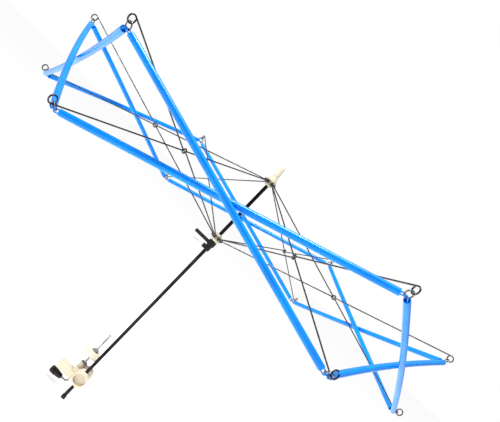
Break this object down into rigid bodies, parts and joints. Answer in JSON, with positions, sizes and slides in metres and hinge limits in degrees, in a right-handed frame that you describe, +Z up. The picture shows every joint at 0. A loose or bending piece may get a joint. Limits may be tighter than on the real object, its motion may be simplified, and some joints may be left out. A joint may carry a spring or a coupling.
{
  "type": "umbrella swift",
  "caption": "Tabletop umbrella swift: sleeved arms hooked on folding wire ribs round a spinning shaft, held by a screw clamp with a swivel.",
  "frame": {"origin": "centre of the lower jaw face of the table clamp, where the underside of the table top rests", "axes": "+Z up along the shaft, +X from the jaw towards the shaft, +Y from the shaft towards the screw"},
  "size_m": [0.814, 0.7272, 0.5162],
  "materials": {
    "blue_sleeve": "glossy translucent-looking extruded tube",
    "rib_wire": "drawn spring wire, bright where it catches the light",
    "polished_rod": "polished round rod",
    "plated_fittings": "plain plated steel",
    "ivory_plastic": "moulded ivory plastic, semi-gloss",
    "black_plastic": "black moulded plastic"
  },
  "bodies": {
    "clamp": {"clamp_body": "ivory_plastic"},
    "swivel": {"swivel_barrel": "ivory_plastic", "swivel_bolt": "plated_fittings"},
    "screw": {"clamp_screw": "polished_rod", "crank_grip": "black_plastic", "thrust_washer": "plated_fittings"},
    "jaw": {"upper_jaw": "ivory_plastic"},
    "nut": {"jaw_nut": "plated_fittings"},
    "rotor": {"shaft": "polished_rod", "shaft_end_cap": "black_plastic", "spindle_tip": "ivory_plastic", "upper_hub": "ivory_plastic", "upper_rib_ring": "rib_wire"},
    "slider": {"lower_hub": "ivory_plastic", "lower_rib_ring": "rib_wire", "clip_body": "black_plastic"},
    "clip_spring": {"clip_spring": "plated_fittings"},
    "rib_down_1": {"rib_down_1": "rib_wire"},
    "rib_up_1": {"rib_up_1": "rib_wire"},
    "upper_ring_1": {"upper_ring_1": "rib_wire"},
    "lower_ring_1": {"lower_ring_1": "rib_wire"},
    "rib_down_2": {"rib_down_2": "rib_wire"},
    "rib_up_2": {"rib_up_2": "rib_wire"},
    "upper_ring_2": {"upper_ring_2": "rib_wire"},
    "lower_ring_2": {"lower_ring_2": "rib_wire"},
    "rib_down_3": {"rib_down_3": "rib_wire"},
    "rib_up_3": {"rib_up_3": "rib_wire"},
    "upper_ring_3": {"upper_ring_3": "rib_wire"},
    "lower_ring_3": {"lower_ring_3": "rib_wire"},
    "rib_down_4": {"rib_down_4": "rib_wire"},
    "rib_up_4": {"rib_up_4": "rib_wire"},
    "upper_ring_4": {"upper_ring_4": "rib_wire"},
    "lower_ring_4": {"lower_ring_4": "rib_wire"},
    "rib_down_5": {"rib_down_5": "rib_wire"},
    "rib_up_5": {"rib_up_5": "rib_wire"},
    "upper_ring_5": {"upper_ring_5": "rib_wire"},
    "lower_ring_5": {"lower_ring_5": "rib_wire"},
    "rib_down_6": {"rib_down_6": "rib_wire"},
    "rib_up_6": {"rib_up_6": "rib_wire"},
    "upper_ring_6": {"upper_ring_6": "rib_wire"},
    "lower_ring_6": {"lower_ring_6": "rib_wire"},
    "arm_out_1": {"arm_out_1": "blue_sleeve"},
    "arm_in_1": {"arm_in_1": "blue_sleeve"},
    "arm_out_2": {"arm_out_2": "blue_sleeve"},
    "arm_in_2": {"arm_in_2": "blue_sleeve"},
    "arm_out_3": {"arm_out_3": "blue_sleeve"},
    "arm_in_3": {"arm_in_3": "blue_sleeve"},
    "arm_out_4": {"arm_out_4": "blue_sleeve"},
    "arm_in_4": {"arm_in_4": "blue_sleeve"},
    "arm_out_5": {"arm_out_5": "blue_sleeve"},
    "arm_in_5": {"arm_in_5": "blue_sleeve"},
    "arm_out_6": {"arm_out_6": "blue_sleeve"},
    "arm_in_6": {"arm_in_6": "blue_sleeve"}
  },
  "joints": [
    {"name": "shaft_tilt", "type": "hinge", "parent": "clamp", "child": "swivel", "pos_m": [0.034, -0.021, 0.008], "axis": [0, 1, 0], "range_deg": [-30, 75]},
    {"name": "swift_spin", "type": "hinge", "parent": "swivel", "child": "rotor", "pos_m": [0.034, -0.021, 0.008], "axis": [0, 0, 1], "continuous": true},
    {"name": "crank_turn", "type": "hinge", "parent": "clamp", "child": "screw", "pos_m": [0.02, 0, 0], "axis": [0, 0, 1], "range_deg": [-200, 88]},
    {"name": "jaw_slide", "type": "slide", "parent": "clamp", "child": "jaw", "axis": [0, 0, 1], "range_m": [-0.0135, 0.025]},
    {"name": "nut_turn", "type": "hinge", "parent": "jaw", "child": "nut", "pos_m": [0.02, 0, 0.0385], "axis": [0, 0, 1], "continuous": true},
    {"name": "fold_1", "type": "hinge", "parent": "rotor", "child": "rib_down_1", "pos_m": [0.03864, -0.01388, 0.44622], "axis": [-0.8377, 0.5461, 0], "range_deg": [-7.5, 31]},
    {"name": "scissor_1", "type": "hinge", "parent": "rib_down_1", "child": "rib_up_1", "pos_m": [0.14425, 0.14813, 0.3845], "axis": [-0.8377, 0.5461, 0], "range_deg": [-63, 16]},
    {"name": "upper_ring_turn_1", "type": "hinge", "parent": "rib_up_1", "child": "upper_ring_1", "pos_m": [0.25329, 0.3154, 0.44298], "axis": [-0.8377, 0.5461, 0], "range_deg": [-8.5, 32]},
    {"name": "lower_ring_turn_1", "type": "hinge", "parent": "rib_down_1", "child": "lower_ring_1", "pos_m": [0.25329, 0.3154, 0.32602], "axis": [-0.8377, 0.5461, 0], "range_deg": [-32, 8.5]},
    {"name": "fold_2", "type": "hinge", "parent": "rotor", "child": "rib_down_2", "pos_m": [0.03015, -0.01342, 0.44622], "axis": [-0.8918, -0.4524, 0], "range_deg": [-8.5, 32]},
    {"name": "scissor_2", "type": "hinge", "parent": "rib_down_2", "child": "rib_up_2", "pos_m": [-0.05734, 0.15905, 0.3845], "axis": [-0.8918, -0.4524, 0], "range_deg": [-63, 16]},
    {"name": "upper_ring_turn_2", "type": "hinge", "parent": "rib_up_2", "child": "upper_ring_2", "pos_m": [-0.14768, 0.33711, 0.44298], "axis": [-0.8918, -0.4524, 0], "range_deg": [-8.5, 32]},
    {"name": "lower_ring_turn_2", "type": "hinge", "parent": "rib_down_2", "child": "lower_ring_2", "pos_m": [-0.14768, 0.33711, 0.32602], "axis": [-0.8918, -0.4524, 0], "range_deg": [-32, 8.5]},
    {"name": "fold_3", "type": "hinge", "parent": "rotor", "child": "rib_down_3", "pos_m": [0.02551, -0.02054, 0.44622], "axis": [-0.0541, -0.9985, 0], "range_deg": [-8.5, 32]},
    {"name": "scissor_3", "type": "hinge", "parent": "rib_down_3", "child": "rib_up_3", "pos_m": [-0.16759, -0.01008, 0.3845], "axis": [-0.0541, -0.9985, 0], "range_deg": [-63, 16]},
    {"name": "upper_ring_turn_3", "type": "hinge", "parent": "rib_up_3", "child": "upper_ring_3", "pos_m": [-0.36698, 0.00072, 0.44298], "axis": [-0.0541, -0.9985, 0], "range_deg": [-8.5, 32]},
    {"name": "lower_ring_turn_3", "type": "hinge", "parent": "rib_down_3", "child": "lower_ring_3", "pos_m": [-0.36698, 0.00072, 0.32602], "axis": [-0.0541, -0.9985, 0], "range_deg": [-32, 8.5]},
    {"name": "fold_4", "type": "hinge", "parent": "rotor", "child": "rib_down_4", "pos_m": [0.02936, -0.02812, 0.44622], "axis": [0.8377, -0.5461, 0], "range_deg": [-8.5, 32]},
    {"name": "scissor_4", "type": "hinge", "parent": "rib_down_4", "child": "rib_up_4", "pos_m": [-0.07625, -0.19013, 0.3845], "axis": [0.8377, -0.5461, 0], "range_deg": [-63, 16]},
    {"name": "upper_ring_turn_4", "type": "hinge", "parent": "rib_up_4", "child": "upper_ring_4", "pos_m": [-0.18529, -0.3574, 0.44298], "axis": [0.8377, -0.5461, 0], "range_deg": [-8.5, 32]},
    {"name": "lower_ring_turn_4", "type": "hinge", "parent": "rib_down_4", "child": "lower_ring_4", "pos_m": [-0.18529, -0.3574, 0.32602], "axis": [0.8377, -0.5461, 0], "range_deg": [-32, 8.5]},
    {"name": "fold_5", "type": "hinge", "parent": "rotor", "child": "rib_down_5", "pos_m": [0.03785, -0.02858, 0.44622], "axis": [0.8918, 0.4524, 0], "range_deg": [-8.5, 32]},
    {"name": "scissor_5", "type": "hinge", "parent": "rib_down_5", "child": "rib_up_5", "pos_m": [0.12534, -0.20105, 0.3845], "axis": [0.8918, 0.4524, 0], "range_deg": [-63, 16]},
    {"name": "upper_ring_turn_5", "type": "hinge", "parent": "rib_up_5", "child": "upper_ring_5", "pos_m": [0.21568, -0.37911, 0.44298], "axis": [0.8918, 0.4524, 0], "range_deg": [-8.5, 32]},
    {"name": "lower_ring_turn_5", "type": "hinge", "parent": "rib_down_5", "child": "lower_ring_5", "pos_m": [0.21568, -0.37911, 0.32602], "axis": [0.8918, 0.4524, 0], "range_deg": [-32, 8.5]},
    {"name": "fold_6", "type": "hinge", "parent": "rotor", "child": "rib_down_6", "pos_m": [0.04249, -0.02146, 0.44622], "axis": [0.0541, 0.9985, 0], "range_deg": [-8.5, 32]},
    {"name": "scissor_6", "type": "hinge", "parent": "rib_down_6", "child": "rib_up_6", "pos_m": [0.23559, -0.03192, 0.3845], "axis": [0.0541, 0.9985, 0], "range_deg": [-63, 16]},
    {"name": "upper_ring_turn_6", "type": "hinge", "parent": "rib_up_6", "child": "upper_ring_6", "pos_m": [0.43498, -0.04272, 0.44298], "axis": [0.0541, 0.9985, 0], "range_deg": [-8.5, 32]},
    {"name": "lower_ring_turn_6", "type": "hinge", "parent": "rib_down_6", "child": "lower_ring_6", "pos_m": [0.43498, -0.04272, 0.32602], "axis": [0.0541, 0.9985, 0], "range_deg": [-32, 8.5]},
    {"name": "arm_out_turn_1", "type": "hinge", "parent": "upper_ring_1", "child": "arm_out_1", "pos_m": [0.24804, 0.31346, 0.43186], "axis": [0.0541, 0.9985, 0], "range_deg": [-32.95, 8.73]},
    {"name": "arm_in_turn_1", "type": "hinge", "parent": "upper_ring_2", "child": "arm_in_1", "pos_m": [-0.14267, 0.33462, 0.43186], "axis": [0.0541, 0.9985, 0], "range_deg": [-8.73, 32.95]},
    {"name": "arm_out_turn_2", "type": "hinge", "parent": "upper_ring_2", "child": "arm_out_2", "pos_m": [-0.14863, 0.3316, 0.43186], "axis": [-0.8377, 0.5461, 0], "range_deg": [-32.95, 8.73]},
    {"name": "arm_in_turn_2", "type": "hinge", "parent": "upper_ring_3", "child": "arm_in_2", "pos_m": [-0.36231, 0.00381, 0.43186], "axis": [-0.8377, 0.5461, 0], "range_deg": [-8.73, 32.95]},
    {"name": "arm_out_turn_3", "type": "hinge", "parent": "upper_ring_3", "child": "arm_out_3", "pos_m": [-0.36267, -0.00286, 0.43186], "axis": [-0.8918, -0.4524, 0], "range_deg": [-32.95, 8.73]},
    {"name": "arm_in_turn_3", "type": "hinge", "parent": "upper_ring_4", "child": "arm_in_3", "pos_m": [-0.18564, -0.35181, 0.43186], "axis": [-0.8918, -0.4524, 0], "range_deg": [-8.73, 32.95]},
    {"name": "arm_out_turn_4", "type": "hinge", "parent": "upper_ring_4", "child": "arm_out_4", "pos_m": [-0.18004, -0.35546, 0.43186], "axis": [-0.0541, -0.9985, 0], "range_deg": [-32.95, 8.73]},
    {"name": "arm_in_turn_4", "type": "hinge", "parent": "upper_ring_5", "child": "arm_in_4", "pos_m": [0.21067, -0.37662, 0.43186], "axis": [-0.0541, -0.9985, 0], "range_deg": [-8.73, 32.95]},
    {"name": "arm_out_turn_5", "type": "hinge", "parent": "upper_ring_5", "child": "arm_out_5", "pos_m": [0.21663, -0.3736, 0.43186], "axis": [0.8377, -0.5461, 0], "range_deg": [-32.95, 8.73]},
    {"name": "arm_in_turn_5", "type": "hinge", "parent": "upper_ring_6", "child": "arm_in_5", "pos_m": [0.43031, -0.04581, 0.43186], "axis": [0.8377, -0.5461, 0], "range_deg": [-8.73, 32.95]},
    {"name": "arm_out_turn_6", "type": "hinge", "parent": "upper_ring_6", "child": "arm_out_6", "pos_m": [0.43067, -0.03914, 0.43186], "axis": [0.8918, 0.4524, 0], "range_deg": [-32.95, 8.73]},
    {"name": "arm_in_turn_6", "type": "hinge", "parent": "upper_ring_1", "child": "arm_in_6", "pos_m": [0.25364, 0.30981, 0.43186], "axis": [0.8918, 0.4524, 0], "range_deg": [-8.73, 32.95]},
    {"name": "slider_level", "type": "hinge", "parent": "rib_up_1", "child": "slider", "pos_m": [0.03864, -0.01388, 0.32278], "axis": [-0.8377, 0.5461, 0], "range_deg": [-8.5, 32]},
    {"name": "clip_spring_press", "type": "hinge", "parent": "slider", "child": "clip_spring", "pos_m": [0.0265, -0.021, 0.29968], "axis": [0, 1, 0], "range_deg": [-2, 14], "stiffness_Nm_per_rad": 0.03}
  ],
  "couplings": [
    {"joint": "scissor_1", "follows": "fold_1", "ratio": -2},
    {"joint": "upper_ring_turn_1", "follows": "fold_1", "ratio": 1},
    {"joint": "lower_ring_turn_1", "follows": "fold_1", "ratio": -1},
    {"joint": "fold_2", "follows": "fold_1", "ratio": 1},
    {"joint": "scissor_2", "follows": "fold_1", "ratio": -2},
    {"joint": "upper_ring_turn_2", "follows": "fold_1", "ratio": 1},
    {"joint": "lower_ring_turn_2", "follows": "fold_1", "ratio": -1},
    {"joint": "fold_3", "follows": "fold_1", "ratio": 1},
    {"joint": "scissor_3", "follows": "fold_1", "ratio": -2},
    {"joint": "upper_ring_turn_3", "follows": "fold_1", "ratio": 1},
    {"joint": "lower_ring_turn_3", "follows": "fold_1", "ratio": -1},
    {"joint": "fold_4", "follows": "fold_1", "ratio": 1},
    {"joint": "scissor_4", "follows": "fold_1", "ratio": -2},
    {"joint": "upper_ring_turn_4", "follows": "fold_1", "ratio": 1},
    {"joint": "lower_ring_turn_4", "follows": "fold_1", "ratio": -1},
    {"joint": "fold_5", "follows": "fold_1", "ratio": 1},
    {"joint": "scissor_5", "follows": "fold_1", "ratio": -2},
    {"joint": "upper_ring_turn_5", "follows": "fold_1", "ratio": 1},
    {"joint": "lower_ring_turn_5", "follows": "fold_1", "ratio": -1},
    {"joint": "fold_6", "follows": "fold_1", "ratio": 1},
    {"joint": "scissor_6", "follows": "fold_1", "ratio": -2},
    {"joint": "upper_ring_turn_6", "follows": "fold_1", "ratio": 1},
    {"joint": "lower_ring_turn_6", "follows": "fold_1", "ratio": -1},
    {"joint": "arm_out_turn_1", "follows": "fold_1", "ratio": -1.0305},
    {"joint": "arm_in_turn_1", "follows": "fold_1", "ratio": 1.0305},
    {"joint": "arm_out_turn_2", "follows": "fold_1", "ratio": -1.0305},
    {"joint": "arm_in_turn_2", "follows": "fold_1", "ratio": 1.0305},
    {"joint": "arm_out_turn_3", "follows": "fold_1", "ratio": -1.0305},
    {"joint": "arm_in_turn_3", "follows": "fold_1", "ratio": 1.0305},
    {"joint": "arm_out_turn_4", "follows": "fold_1", "ratio": -1.0305},
    {"joint": "arm_in_turn_4", "follows": "fold_1", "ratio": 1.0305},
    {"joint": "arm_out_turn_5", "follows": "fold_1", "ratio": -1.0305},
    {"joint": "arm_in_turn_5", "follows": "fold_1", "ratio": 1.0305},
    {"joint": "arm_out_turn_6", "follows": "fold_1", "ratio": -1.0305},
    {"joint": "arm_in_turn_6", "follows": "fold_1", "ratio": 1.0305},
    {"joint": "slider_level", "follows": "fold_1", "ratio": 1}
  ]
}
